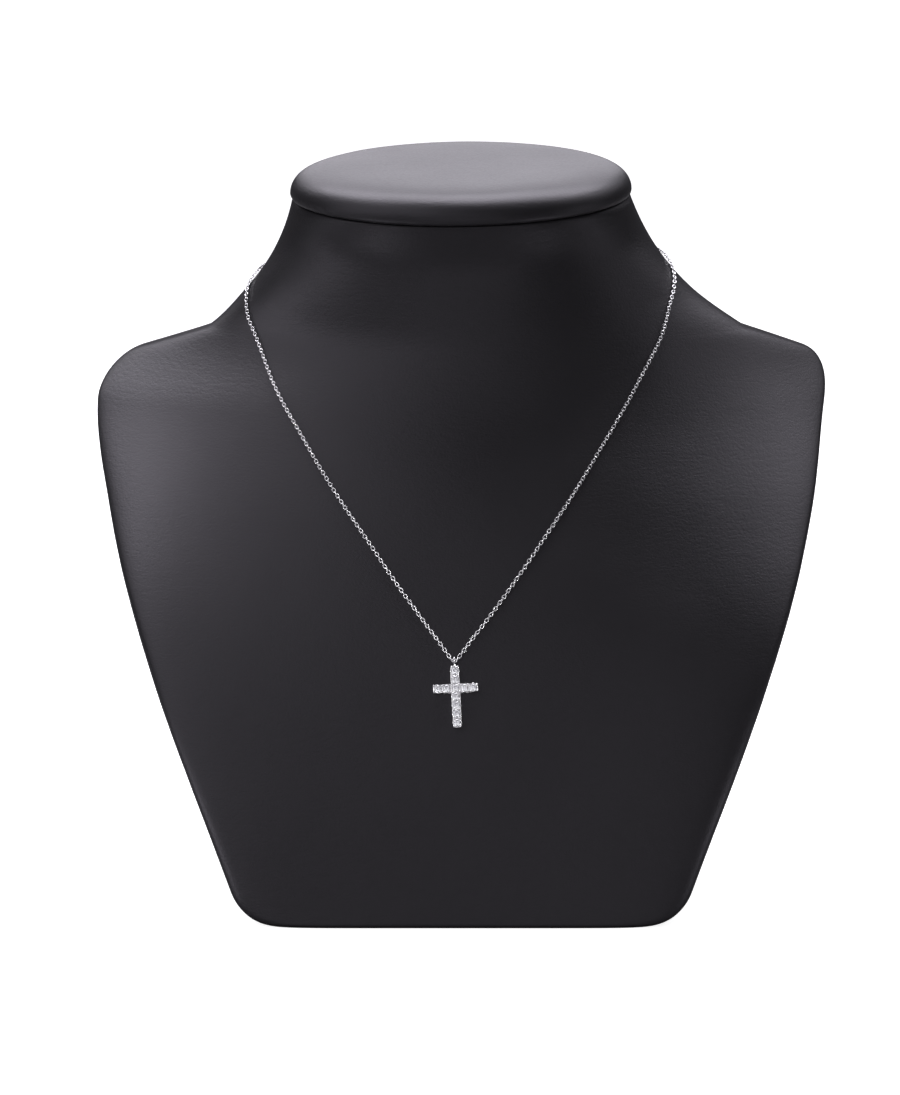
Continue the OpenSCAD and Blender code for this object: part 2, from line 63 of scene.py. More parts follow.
def grain_group():
    """The leatherette: a fine pebble grain, lightly creased where it was pulled over the form."""
    group = bpy.data.node_groups.new("Leather grain", "ShaderNodeTree")
    face = group.interface
    for name, start in (("Pebble size", 0.0007), ("Crease size", 0.006), ("Crease depth", 0.5),
                        ("Wear", 0.5)):
        face.new_socket(name, in_out="INPUT", socket_type="NodeSocketFloat").default_value = start
    for name, kind in (("Height", "NodeSocketFloat"), ("Tint", "NodeSocketColor"),
                       ("Roughness", "NodeSocketFloat")):
        face.new_socket(name, in_out="OUTPUT", socket_type=kind)
    nodes, link = group.nodes, group.links.new
    given, out = nodes.new("NodeGroupInput"), nodes.new("NodeGroupOutput")
    place = nodes.new("ShaderNodeTexCoord").outputs["Object"]

    def math_node(kind, a, b=None):
        node = nodes.new("ShaderNodeMath")
        node.operation = kind
        for socket, item in zip(node.inputs, (a, b)):
            if item is None:
                continue
            if hasattr(item, "is_linked"):
                link(item, socket)
            else:
                socket.default_value = item
        return node.outputs[0]

    # Pebbles: rounded cells, swelled unevenly
    warp = nodes.new("ShaderNodeTexNoise")
    link(place, warp.inputs["Vector"])
    value_of(warp.inputs["Scale"], WARP_SCALE)
    value_of(warp.inputs["Detail"], 2)
    bent = nodes.new("ShaderNodeVectorMath")
    bent.operation = "MULTIPLY_ADD"
    link(warp.outputs["Color"], bent.inputs[0])
    value_of(bent.inputs[1], (WARP_BY, WARP_BY, WARP_BY))
    link(place, bent.inputs[2])
    pebble = nodes.new("ShaderNodeTexVoronoi")
    pebble.feature = "SMOOTH_F1"
    link(bent.outputs[0], pebble.inputs["Vector"])
    link(math_node("DIVIDE", 1.0, given.outputs["Pebble size"]), pebble.inputs["Scale"])
    value_of(pebble.inputs["Smoothness"], 0.4)
    domes = math_node("SUBTRACT", 1.0, pebble.outputs["Distance"])
    # Creases: long thin valleys across the leather
    stretch = nodes.new("ShaderNodeVectorMath")
    stretch.operation = "MULTIPLY"
    link(bent.outputs[0], stretch.inputs[0])
    value_of(stretch.inputs[1], (0.22, 0.22, 1.0))
    crease = nodes.new("ShaderNodeTexNoise")
    link(stretch.outputs[0], crease.inputs["Vector"])
    link(math_node("DIVIDE", 1.0, given.outputs["Crease size"]), crease.inputs["Scale"])
    value_of(crease.inputs["Detail"], 4)
    value_of(crease.inputs["Roughness"], 0.65)
    off = math_node("ABSOLUTE", math_node("SUBTRACT", crease.outputs["Fac"], 0.5))
    valley = math_node("MINIMUM", math_node("MULTIPLY", off, CREASE_SLOPE), 1.0)
    height = math_node("ADD", math_node("MULTIPLY", domes, DOME_SHARE),
                       math_node("MULTIPLY", valley, given.outputs["Crease depth"]))
    link(height, out.inputs["Height"])
    # Colour and gloss drift a little over the hide
    drift = nodes.new("ShaderNodeTexNoise")
    link(place, drift.inputs["Vector"])
    value_of(drift.inputs["Scale"], DRIFT_SCALE)
    value_of(drift.inputs["Detail"], 3)
    tint = nodes.new("ShaderNodeMix")
    tint.data_type = "RGBA"
    link(math_node("MULTIPLY", drift.outputs["Fac"], given.outputs["Wear"]), tint.inputs[0])
    # sockets 6 and 7 are a colour mix's two colours, and 2 gives their mix
    value_of(tint.inputs[6], BLACK)
    value_of(tint.inputs[7], WORN_BLACK)
    link(tint.outputs[2], out.inputs["Tint"])
    shine = math_node("ADD", ROUGH_BASE, math_node("MULTIPLY", drift.outputs["Fac"], ROUGH_DRIFT))
    shine = math_node("SUBTRACT", shine, math_node("MULTIPLY", domes, ROUGH_DOMES))
    link(shine, out.inputs["Roughness"])
    return group


GRAIN = grain_group()


def leather(name, pebble, crease, depth, bump):
    """Black leatherette: sizes of its grain and creases, and the height of its bump, in metres."""
    material = bpy.data.materials.new(name)
    material.use_nodes = True
    nodes, link = material.node_tree.nodes, material.node_tree.links.new
    surface = nodes["Principled BSDF"]
    grain = nodes.new("ShaderNodeGroup")
    grain.node_tree = GRAIN
    value_of(grain.inputs["Pebble size"], pebble)
    value_of(grain.inputs["Crease size"], crease)
    value_of(grain.inputs["Crease depth"], depth)
    raised = nodes.new("ShaderNodeBump")
    value_of(raised.inputs["Strength"], 1.0)
    value_of(raised.inputs["Distance"], bump)
    link(grain.outputs["Height"], raised.inputs["Height"])
    link(grain.outputs["Tint"], surface.inputs["Base Color"])
    link(grain.outputs["Roughness"], surface.inputs["Roughness"])
    link(raised.outputs["Normal"], surface.inputs["Normal"])
    value_of(surface.inputs["IOR"], 1.5)
    value_of(surface.inputs["Specular IOR Level"], 0.5)
    value_of(surface.inputs["Specular Tint"], (0.97, 0.935, 1.0, 1))
    return material


# sizes in millimetres and degrees, and MM to make metres of them
MM = 0.001
HALF_W, FORM_H, HALF_D = 99.9, 181.0, 72.0
BASE_HALF, BASE_R, SIDE_LOW, SIDE_HIGH = 48.0, 13.5, 22.0, 7.0
SHOULDER_H, SHOULDER_R, SHOULDER_SLOPE, ROOT_HALF = 126.6, 12.5, 20.0, 73.8
NECK_HALF, NECK_HALF_D, NECK_BACK, NECK_TILT, NECK_ROLL = 46.1, 38.0, 31.0, 6.0, 0.8
ROOT_FLARE, TOP_FLARE, TILT_FROM = 1.45, 0.3, 0.83
CORNER_STEPS, SIDE_STEPS, SHOULDER_STEPS, TOP_STEPS, NECK_STEPS = 24, 42, 28, 9, 36
TURN_UNDER, TURN_STEPS, LEVEL_GAP, LIP, LIP_STEPS = 1.4, 6, 0.3, 0.9, 5
WIDE_SWELL, WIDE_WAVE, FINE_SWELL, FINE_WAVE = 0.22, 0.035, 0.05, 0.12

# height, front, sweep, rim, edge, back, back edge, aside, as shares of the form's own sizes
STATIONS = [
    (0, -1.000, 0.000, 0.125, 8, 1.000, 2.6, 0),
    (0.193, -0.845, 0.050, 0.139, 8, 1.000, 2.6, 0),
    (0.387, -0.650, 0.155, 0.140, 7, 1.000, 2.4, 0),
    (0.552, -0.420, 0.330, 0.110, 6.5, 1.000, 2.3, 0),
    (0.691, -0.215, 0.540, 0.080, 6, 1.000, 2.2, 0),
    (0.790, -0.110, 0.780, 0.080, 4, 1.000, 2.1, 0.042),
    (0.856, -0.075, 0.790, 0.210, 3, 0.986, 2, 0.022),
    (0.928, -0.062, 0.465, 0.360, 2.2, 0.972, 2, 0.01),
    (1, (NECK_BACK - NECK_HALF_D) / HALF_D, 0, NECK_HALF_D / HALF_D, 2,
     (NECK_BACK + NECK_HALF_D) / HALF_D, 2, 0),
]


def ease(a, b, ma, mb, h, t):
    """A smooth value from a to b with slopes ma and mb, at a share t of the way h."""
    return (a * (2 * t**3 - 3 * t**2 + 1) + h * ma * (t**3 - 2 * t**2 + t)
            + b * (3 * t**2 - 2 * t**3) + h * mb * (t**3 - t**2))


def smooth_row(rows, key):
    """All columns of a table of rows, at a value of the first column."""
    i = 0
    while i < len(rows) - 2 and rows[i + 1][0] <= key:
        i += 1

    def slopes(k):
        a, b = rows[max(0, k - 1)], rows[min(len(rows) - 1, k + 1)]
        return [(q - p) / (b[0] - a[0]) for p, q in zip(a, b)]

    low, high, m_low, m_high = rows[i], rows[i + 1], slopes(i), slopes(i + 1)
    h = high[0] - low[0]
    return [ease(p, q, m, n, h, (key - low[0]) / h)
            for p, q, m, n in zip(low, high, m_low, m_high)]


def side_outline():
    """The form's right edge from the base to the neck's top: half widths and heights."""
    sin, cos, rad = math.sin, math.cos, math.radians
    corner = [(BASE_HALF + BASE_R * cos(a), BASE_R + BASE_R * sin(a))
              for a in (rad(-90 + i * (90 - SIDE_LOW) / CORNER_STEPS)
                        for i in range(CORNER_STEPS + 1))]
    turn = 90 - SHOULDER_SLOPE + SIDE_HIGH
    shoulder = [(HALF_W - SHOULDER_R + SHOULDER_R * cos(a), SHOULDER_H + SHOULDER_R * sin(a))
                for a in (rad(-SIDE_HIGH + i * turn / SHOULDER_STEPS)
                          for i in range(SHOULDER_STEPS + 1))]
    rise = shoulder[0][1] - corner[-1][1]
    side = [(ease(corner[-1][0], shoulder[0][0], math.tan(rad(SIDE_LOW)), math.tan(rad(SIDE_HIGH)),
                  rise, i / SIDE_STEPS), corner[-1][1] + rise * i / SIDE_STEPS)
            for i in range(1, SIDE_STEPS)]
    x, z = shoulder[-1]
    root = z + (x - ROOT_HALF) * math.tan(rad(SHOULDER_SLOPE))
    top = [(x + (ROOT_HALF - x) * i / TOP_STEPS, z + (root - z) * i / TOP_STEPS)
           for i in range(1, TOP_STEPS + 1)]
    neck = [(ease(ROOT_HALF, NECK_HALF, -ROOT_FLARE, -TOP_FLARE, FORM_H - root, i / NECK_STEPS),
             root + (FORM_H - root) * i / NECK_STEPS) for i in range(1, NECK_STEPS + 1)]
    return corner + side + shoulder + top + neck


OUTLINE = side_outline()


def half_width(z):
    """Half the form's width at a height, along its outline."""
    for (x0, z0), (x1, z1) in zip(OUTLINE, OUTLINE[1:]):
        if z <= z1:
            return x0 + (x1 - x0) * (z - z0) / (z1 - z0)
    return OUTLINE[-1][0]


def section(z):
    """The form's own sizes at a height, in millimetres."""
    _, front, sweep, rim, edge, back, back_edge, aside = smooth_row(STATIONS, z / FORM_H)
    w = half_width(z)
    return (w, front * HALF_D, sweep * HALF_D * (w / HALF_W) ** 2, rim * HALF_D, edge,
            back * HALF_D, back_edge, aside * HALF_W, z)


def tilted(x, y, z):
    """The height after the neck's top is tilted forward and sideways."""
    start = TILT_FROM * FORM_H
    k = max(0.0, min(1.0, (z - start) / (FORM_H - start)))
    lean = math.tan(math.radians(NECK_TILT)) * (y - NECK_BACK)
    roll = math.tan(math.radians(NECK_ROLL)) * x
    return z + (lean + roll) * k * k * (3 - 2 * k)


def on_section(s, u, is_back):
    """A point of a section, at a share of its half width, on the front or the back."""
    w, front, sweep, rim, edge, back, back_edge, aside, z = s
    a = min(1.0, abs(u))
    side = front + sweep + rim
    if is_back:
        y = side + (back - side) * (1 - a**back_edge) ** (1 / back_edge)
    else:
        y = front + sweep * a * a + rim * (1 - (1 - a**edge) ** (1 / edge))
    x = w * u + aside
    return Vector((x, y, tilted(x, y, z)))


def quarter_shares(count, crowd=2.5):
    """Shares of the half width from the middle to the side, closer together at the side."""
    return [1 - (1 - i / count) ** crowd for i in range(count + 1)]


def form_ring(z, count=48):
    """The closed ring of points round the form at a height, from its left side by the front."""
    s, u = section(z), quarter_shares(count)
    return ([on_section(s, -u[count - i], False) for i in range(count)]
            + [on_section(s, u[i], False) for i in range(count)]
            + [on_section(s, u[count - i], True) for i in range(count)]
            + [on_section(s, -u[i], True) for i in range(count)])


def inset(ring, depth):
    """A ring of points drawn in towards its own inside, level by level."""
    n = len(ring)
    drawn = []
    for i, p in enumerate(ring):
        along = ring[(i + 1) % n] - ring[i - 1]
        inward = Vector((-along.y, along.x, 0)).normalized()
        drawn.append(p + inward * depth)
    return drawn


def skin(name, rings, body):
    """A closed mesh over rings of equal count, in millimetres, made as a piece of the object."""
    n = len(rings[0])
    points = [tuple(p * MM for p in point) for ring in rings for point in ring]
    faces = [(j * n + i, j * n + (i + 1) % n, (j + 1) * n + (i + 1) % n, (j + 1) * n + i)
             for j in range(len(rings) - 1) for i in range(n)]
    for ring, first, turn in ((rings[0], 0, 1), (rings[-1], (len(rings) - 1) * n, 0)):
        middle = sum((Vector(p) for p in ring), Vector()) / n
        points.append(tuple(middle * MM))
        hub = len(points) - 1
        faces += [(first + (i + turn) % n, first + (i + 1 - turn) % n, hub) for i in range(n)]
    mesh = bpy.data.meshes.new(name)
    mesh.from_pydata(points, [], faces)
    mesh.polygons.foreach_set("use_smooth", [True] * len(mesh.polygons))
    mesh.update()
    piece = bpy.data.objects.new(name, mesh)
    bpy.context.collection.objects.link(piece)
    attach(piece, body)
    return piece


rings = []
for i in range(TURN_STEPS + 1):
    a = math.radians(90 * i / TURN_STEPS)
    level = TURN_UNDER * (1 - math.cos(a))
    rings.append(inset(form_ring(level), TURN_UNDER * (1 - math.sin(a))))
levels = [z for x, z in OUTLINE if z > TURN_UNDER + LEVEL_GAP]
rings += [form_ring(z) for z in levels[:-1]]
for i in range(1, LIP_STEPS + 1):
    a = math.radians(90 * i / LIP_STEPS)
    ring = form_ring(FORM_H)
    rings.append([p - Vector((0, 0, LIP * (1 - math.sin(a))))
                  for p in inset(ring, LIP * (1 - math.cos(a)))])
# The wrap is not dead flat: the padding under it swells and sinks a little
for ring in rings[TURN_STEPS + 1:-LIP_STEPS - 1]:
    for i, p in enumerate(ring):
        swell = (noise.noise(p * WIDE_WAVE) * WIDE_SWELL
                 + noise.noise(p * FINE_WAVE) * FINE_SWELL)
        out = Vector((p.x * 0.6, p.y - NECK_BACK * 0.5, 0)).normalized()
        ring[i] = p + out * swell
bust = skin("leather_bust", rings, "display")
bust.data.materials.append(leather("Bust leather", 0.0007, 0.0018, 0.32, 0.000042))
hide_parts("bust")


# Neck cap
# The padded oval lid of the neck: thin foam on a board, covered with the same leatherette, which
# is drawn round the rim and held underneath, so the lower rim puckers slightly.

CAP_HALF, CAP_HALF_D, CAP_T, CAP_CROWN, CAP_SEAM = 46.7, 41.0, 7.5, 0.8, 0.3
CAP_WIDE_H, CAP_LOW_R, CAP_FULL = 1.2, 0.8, 8
CAP_LOW_STEPS, CAP_STEPS, CAP_AROUND = 8, 44, 240
PUCKER, PUCKER_H, PUCKER_WAVE, PUCKER_FINE_WAVE = 0.12, 3.0, 14, 40
CAP_SWELL, CAP_WAVE = 0.12, 0.05

# the lid's profile, from its underside to its top: how far in from the rim, and the height
profile = [(CAP_LOW_R * (1 - math.sin(a)), CAP_WIDE_H * (1 - math.cos(a)))
           for a in (math.radians(90 * i / CAP_LOW_STEPS) for i in range(CAP_LOW_STEPS))]
dome = CAP_T + CAP_CROWN - CAP_WIDE_H
profile += [(CAP_HALF_D * t, CAP_WIDE_H + dome * (1 - (1 - t) ** CAP_FULL) ** 0.5)
            for t in ((i / CAP_STEPS) ** 2 for i in range(CAP_STEPS))]
lay = (Matrix.Translation((0, NECK_BACK, FORM_H))
       @ Matrix.Rotation(math.radians(NECK_TILT), 4, "X")
       @ Matrix.Rotation(math.radians(-NECK_ROLL), 4, "Y")
       @ Matrix.Translation((0, 0, CAP_SEAM)))
rings = []
for drawn, rise in profile:
    ring = []
    for i in range(CAP_AROUND):
        a = math.tau * i / CAP_AROUND
        low = max(0.0, 1 - rise / PUCKER_H)
        wave = noise.noise(Vector((math.cos(a), math.sin(a), 0)) * PUCKER_WAVE)
        fine_wave = noise.noise(Vector((math.cos(a), math.sin(a), 1)) * PUCKER_FINE_WAVE)
        pucker = PUCKER * low * (wave + 0.5 * fine_wave)
        x = -(CAP_HALF - drawn + pucker) * math.cos(a)
        y = -(CAP_HALF_D - drawn + pucker) * math.sin(a)
        swell = CAP_SWELL * noise.noise(Vector((x, y, rise)) * CAP_WAVE) * min(1.0, rise / CAP_T)
        ring.append(lay @ Vector((x, y, rise + swell)))
    rings.append(ring)
cap = skin("padded_cap", rings, "display")
cap.data.materials.append(leather("Cap leather", 0.0007, 0.0026, 0.25, 0.00004))
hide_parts("neck_cap")


# Cable chain
# Oval links of round wire, each closed through the last and turned a quarter to it.  The loop
# runs from one eye of the clasp round the neck to the V, where a link passes through the bail.

def white_gold(name, rough):
    """Bright rhodium plated white gold, polished, with the faint softness that polishing leaves."""
    material = bpy.data.materials.new(name)
    material.use_nodes = True
    nodes, link = material.node_tree.nodes, material.node_tree.links.new
    surface = nodes["Principled BSDF"]
    value_of(surface.inputs["Metallic"], 1.0)
    place = nodes.new("ShaderNodeTexCoord").outputs["Object"]
    haze = nodes.new("ShaderNodeTexNoise")
    link(place, haze.inputs["Vector"])
    value_of(haze.inputs["Scale"], 1500)
    value_of(haze.inputs["Detail"], 2)
    tint = nodes.new("ShaderNodeMix")
    tint.data_type = "RGBA"
    link(haze.outputs["Fac"], tint.inputs[0])
    value_of(tint.inputs[6], (0.86, 0.86, 0.87, 1))
    value_of(tint.inputs[7], (0.93, 0.925, 0.92, 1))
    link(tint.outputs[2], surface.inputs["Base Color"])
    gloss = nodes.new("ShaderNodeMapRange")
    link(haze.outputs["Fac"], gloss.inputs["Value"])
    value_of(gloss.inputs["To Min"], rough * 0.8)
    value_of(gloss.inputs["To Max"], rough * 1.4)
    link(gloss.outputs["Result"], surface.inputs["Roughness"])
    return material


# the height of the chain's middle over the leather, and the bearing of its ends in the clasp
CHAIN_OVER, CHAIN_END = 0.75, 173.554
LINK_PITCH, LINK_WIRE, LINK_WIDTH, INTO_EYE = 1.01, 0.24, 1.06, 0.3
HALVINGS, ROUTE_STEP = 24, 0.5
# the play of the links: degrees, and radians of its wave for each millimetre
LEANS = ((6, 0.31), (5, 1.7))
# the way that the rings face over the chest, the heights between which they turn to it, and the
# bearings between which they turn back to the neck
FRONT = Vector((0, -0.985, 0.174))
TWIST_LOW, TWIST_HIGH, TWIST_NEAR, TWIST_FAR = 74, 96, 68, 98
# bearing round the neck, way down from the form's top, lift, in the order of the loop
ROUTE = [
    (-CHAIN_END, 8.5, 0), (-152, 11.8, 0), (-130, 16.4, 0), (-107, 20, 0), (-92.5, 21.8, 0),
    (-83.4, 26.1, 0), (-76.7, 32.9, 0), (-65.9, 42.5, 0), (-49, 56.65, 0), (-34.6, 70.9, 0),
    (-21.8, 85.2, 0), (-11.1, 99.6, 0), (-5, 108.8, 0.15), (-2.55, 113.05, 0.6),
    (-2, 114.1, 0.68), (-1.7, 114.45, 0.7), (-1.35, 114.55, 0.7), (-1, 114.45, 0.7),
    (-0.7, 114.1, 0.68), (-0.15, 113.05, 0.6), (2.1, 109.15, 0.15), (11.9, 94.7, 0),
    (23, 80.35, 0), (36.3, 66, 0), (51.2, 51.6, 0), (64.9, 37.4, 0), (73.9, 27.9, 0),
    (83.1, 21, 0), (92, 17.8, 0), (108.5, 16.2, 0), (131, 13.6, 0), (152, 10.4, 0),
    (CHAIN_END, 8.5, 0),
]
# the row that lies in the bail
BAIL_ROW = 16


def on_leather(bearing, z):
    """The form's point at a bearing round the neck's axis and a level."""
    b = bearing - 360 if bearing > 180 else bearing
    s, side = section(z), -1 if b < 0 else 1

    def seen(p):
        return math.degrees(math.atan2(side * p.x, NECK_BACK - p.y))

    is_back = abs(b) > seen(on_section(s, side, False))
    low, high = 0.0, 1.0
    for _ in range(HALVINGS):
        u = (low + high) / 2
        past = seen(on_section(s, side * u, is_back)) > abs(b)
        low, high = (low, u) if past != is_back else (u, high)
    return on_section(s, side * u, is_back)


def outward(bearing, z, nudge=0.4):
    """The leather's outward direction at a bearing and a level."""
    return (on_leather(bearing + nudge, z) - on_leather(bearing - nudge, z)).cross(
        on_leather(bearing, z + nudge) - on_leather(bearing, z - nudge)).normalized()


def over_leather(bearing, z, height):
    return on_leather(bearing, z) + outward(bearing, z) * height


run = [0.0]
for (b0, h0, _), (b1, h1, _) in zip(ROUTE, ROUTE[1:]):
    run.append(run[-1] + math.hypot(b1 - b0, h1 - h0))
route_rows = [(r, *row) for r, row in zip(run, ROUTE)]


def chain_point(r):
    """The chain's middle and outward direction at a place r along the route's rows."""
    _, bearing, down, lift = smooth_row(route_rows, r)
    z = FORM_H - down
    return over_leather(bearing, z, CHAIN_OVER + lift), outward(bearing, z)


line, normals, runs = [], [], []
for i in range(len(run) - 1):
    fine = max(4, int((run[i + 1] - run[i]) / ROUTE_STEP))
    for k in range(fine):
        runs.append(run[i] + (run[i + 1] - run[i]) * k / fine)
runs.append(run[-1])
for r in runs:
    point, normal = chain_point(r)
    line.append(point)
    normals.append(normal)
lengths = [0.0]
for a, b in zip(line, line[1:]):
    lengths.append(lengths[-1] + (b - a).length)
at_bail = lengths[runs.index(run[BAIL_ROW])]


def along_chain(s):
    """Point, direction and outward normal of the chain's middle line at a length from its start."""
    i = next((k for k in range(len(lengths) - 1) if lengths[k + 1] >= s), len(lengths) - 2)
    t = (s - lengths[i]) / (lengths[i + 1] - lengths[i])
    direction = (line[i + 1] - line[i]).normalized()
    normal = normals[i].lerp(normals[i + 1], t)
    normal = (normal - direction * normal.dot(direction)).normalized()
    return line[i].lerp(line[i + 1], t), direction, normal


def link_loop(length, width, wire, around=20, sides=8, squareness=2.3):
    """Points and faces of one oval link of round wire, long in X and flat in X-Y."""
    points, faces = [], []
    a_half, b_half = (length - wire) / 2, (width - wire) / 2
    path = []
    for i in range(around):
        t = math.tau * i / around
        c, s = math.cos(t), math.sin(t)
        path.append(Vector((a_half * math.copysign(abs(c) ** (2 / squareness), c),
                            b_half * math.copysign(abs(s) ** (2 / squareness), s), 0)))
    for i, p in enumerate(path):
        tangent = (path[(i + 1) % around] - path[i - 1]).normalized()
        out = Vector((tangent.y, -tangent.x, 0))
        for k in range(sides):
            b = math.tau * (k + 0.5) / sides
            points.append(p + (out * math.cos(b) + Vector((0, 0, math.sin(b)))) * (wire / 2))
    for i in range(around):
        for k in range(sides):
            j, m = (i + 1) % around, (k + 1) % sides
            faces.append((i * sides + k, i * sides + m, j * sides + m, j * sides + k))
    return points, faces


def odd_count(length):
    """An odd number of links for a length of the chain."""
    return 2 * int(length / LINK_PITCH / 2) + 1


def soft_step(value, low, high):
    """0 below low, 1 above high, with a smooth rise between them."""
    t = max(0.0, min(1.0, (value - low) / (high - low)))
    return t * t * (3 - 2 * t)


# Whole links are set out from the bail, so that one lies flat in it, and odd counts to each side
# bring the last ones on edge, through the eyes of the clasp
left_run, right_run = at_bail + INTO_EYE, lengths[-1] - at_bail + INTO_EYE
count_left, count_right = odd_count(left_run), odd_count(right_run)
stops = [at_bail - left_run * (1 - i / count_left) for i in range(count_left)]
stops += [at_bail + right_run * i / count_right for i in range(count_right + 1)]
loop_points, loop_faces = link_loop(LINK_PITCH + 2 * LINK_WIRE, LINK_WIDTH, LINK_WIRE)
points, faces = [], []
for number, stop in enumerate(stops):
    centre, direction, normal = along_chain(stop)
    # Above the cross the chain has twisted a little, so that its rings still face the front
    bearing = math.degrees(math.atan2(abs(centre.x), NECK_BACK - centre.y))
    twist = soft_step(centre.z, TWIST_LOW, TWIST_HIGH)
    twist *= 1 - soft_step(bearing, TWIST_NEAR, TWIST_FAR)
    normal = normal.lerp(FRONT, twist)
    normal = (normal - direction * normal.dot(direction)).normalized()
    side = normal.cross(direction)
    lean = sum(most * math.sin(stop * wave) for most, wave in LEANS)
    turn = math.radians(lean + (90 if (number - count_left) % 2 else 0))
    flat = side * math.cos(turn) + normal * math.sin(turn)
    up = direction.cross(flat)
    first = len(points)
    points += [(centre + direction * p.x + flat * p.y + up * p.z) * MM for p in loop_points]
    faces += [tuple(first + k for k in face) for face in loop_faces]
mesh = bpy.data.meshes.new("cable_chain")
mesh.from_pydata(points, [], faces)
mesh.polygons.foreach_set("use_smooth", [True] * len(mesh.polygons))
mesh.update()
chain = bpy.data.objects.new("cable_chain", mesh)
bpy.context.collection.objects.link(chain)
chain.data.materials.append(white_gold("Chain gold", 0.16))
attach(chain, "display")
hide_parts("chain")


# Clasp
# The closed spring ring behind the neck, a bent tube of the same white gold, with an eye soldered
# on at each side that the chain's last link goes through.

clasp = frame["nodes"]["clasp"]
clasp.data.materials.clear()
clasp.data.materials.append(white_gold("Clasp gold", 0.14))


# Cross setting
# The soldered cross of polished white gold: a plate of two bars, eleven turned collets with
# pierced seats, 24 shared prongs with round heads, and a bail ring on a short foot.  It is drawn
# in its own axes, from the bail's middle: x across, y inward to the leather, z up.

STONE_D, PITCH, SETTING_T, COLLET_WALL, SEAT_PLAY = 2.1, 2.3, 1.25, 0.12, 0.03
BAR_HALF, END_WALL, EDGE_ROUND, CROSS_GAP, COLLET_UNDER = 1.08, 0.22, 0.09, 0.3, 0.1
PRONG_R, HEAD_R, HEAD_OVER, PRONG_SIDE, CORNER_SHARE = 0.22, 0.25, 0.12, 0.79, 0.443
BAIL_D, BAIL_WIRE, BAIL_DROP, FOOT_HALF, FOOT_BACK = 2.3, 0.46, 2.7, 0.3, 0.45
CROSS_BACK = CHAIN_OVER + ROUTE[BAIL_ROW][2] - CROSS_GAP
GIRDLE = CROSS_BACK - SETTING_T
RIM = GIRDLE + COLLET_UNDER
SEAT_R = STONE_D / 2 + SEAT_PLAY
COLLET_R = SEAT_R + COLLET_WALL
MIDDLE = -BAIL_DROP - 2 * PITCH
SEAT_HOLE_R, SEAT_STEP, SEAT_DEPTH, PRONG_INSET, FOOT_CLEAR, TIP = 0.5, 0.06, 0.6, 0.1, 0.04, 0.001
DRILL_AROUND, COLLET_AROUND, PRONG_AROUND, BEAD_STEPS = 40, 48, 18, 9
BAIL_AROUND, WIRE_AROUND = 56, 18
STONE_PLACES = [(0, k) for k in (2, 1, 0, -1, -2, -3, -4)] + [(k, 0) for k in (-2, -1, 1, 2)]


def stone_middle(number):
    """The middle of a stone's box, in metres."""
    low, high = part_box(f"stone_{number:02d}")
    return (Vector(low) + Vector(high)) / 2


# The cross hangs turned a little: its own axes come from its stones, its origin from the bail
up = (stone_middle(1) - stone_middle(7)).normalized()
across = (stone_middle(11) - stone_middle(8)).normalized()
inward = up.cross(across)
turned = Matrix((across, inward, up)).transposed().to_4x4()
HANG = Matrix.Translation(Vector(frame["joints"][0]["pos_m"])) @ turned @ Matrix.Scale(MM, 4)


def turned_piece(shape, outline, x, z, around):
    """Adds a closed outline of (radius, depth) turned round the depth axis at (x, z)."""
    rings = []
    for i in range(around):
        a = math.tau * i / around
        rings.append([shape.verts.new((x + r * math.cos(a), y, z + r * math.sin(a)))
                      for r, y in outline])
    for i, ring in enumerate(rings):
        following = rings[(i + 1) % around]
        for j in range(len(outline)):
            k = (j + 1) % len(outline)
            shape.faces.new((ring[j], following[j], following[k], ring[k]))


def rounded_block(shape, outline, front, back, edge):
    """Adds an outline in x and z drawn out from front to back, with its edges rounded."""
    near = [shape.verts.new((x, front, z)) for x, z in outline]
    far = [shape.verts.new((x, back, z)) for x, z in outline]
    n = len(outline)
    faces = [shape.faces.new(near), shape.faces.new(far[::-1])]
    faces += [shape.faces.new((near[i], far[i], far[(i + 1) % n], near[(i + 1) % n]))
              for i in range(n)]
    edges = {e for face in faces for e in face.edges}
    bmesh.ops.bevel(shape, geom=list(edges), offset=edge, segments=3, affect="EDGES", profile=0.5)


def shape_mesh(shape, name):
    """The finished mesh of a shape, smooth but for its real edges."""
    bmesh.ops.recalc_face_normals(shape, faces=shape.faces[:])
    for edge in shape.edges:
        edge.smooth = edge.calc_face_angle(0) < math.radians(40)
    for face in shape.faces:
        face.smooth = True
    mesh = bpy.data.meshes.new(name)
    shape.to_mesh(mesh)
    shape.free()
    return mesh


# The plate, with a round hole for each collet
b, up_end, down_end = BAR_HALF, 2 * PITCH + SEAT_R + END_WALL, -4 * PITCH - SEAT_R - END_WALL
cross_outline = [(-b, up_end), (b, up_end), (b, b), (up_end, b), (up_end, -b), (b, -b),
                 (b, down_end), (-b, down_end), (-b, -b), (-up_end, -b), (-up_end, b), (-b, b)]
shape = bmesh.new()
rounded_block(shape, [(x, z + MIDDLE) for x, z in cross_outline], RIM + 0.02, CROSS_BACK,
              EDGE_ROUND)
plate = bpy.data.objects.new("plate", shape_mesh(shape, "plate"))
shape = bmesh.new()
for i, k in STONE_PLACES:
    x, z, r = i * PITCH, k * PITCH + MIDDLE, COLLET_R - 0.06
    near = [shape.verts.new((x + r * math.cos(a), RIM - 1, z + r * math.sin(a)))
            for a in (math.tau * j / DRILL_AROUND for j in range(DRILL_AROUND))]
    far = [shape.verts.new((v.co.x, CROSS_BACK + 1, v.co.z)) for v in near]
    shape.faces.new(near)
    shape.faces.new(far[::-1])
    for j in range(DRILL_AROUND):
        following = (j + 1) % DRILL_AROUND
        shape.faces.new((near[j], far[j], far[following], near[following]))
drills = bpy.data.objects.new("drills", shape_mesh(shape, "drills"))
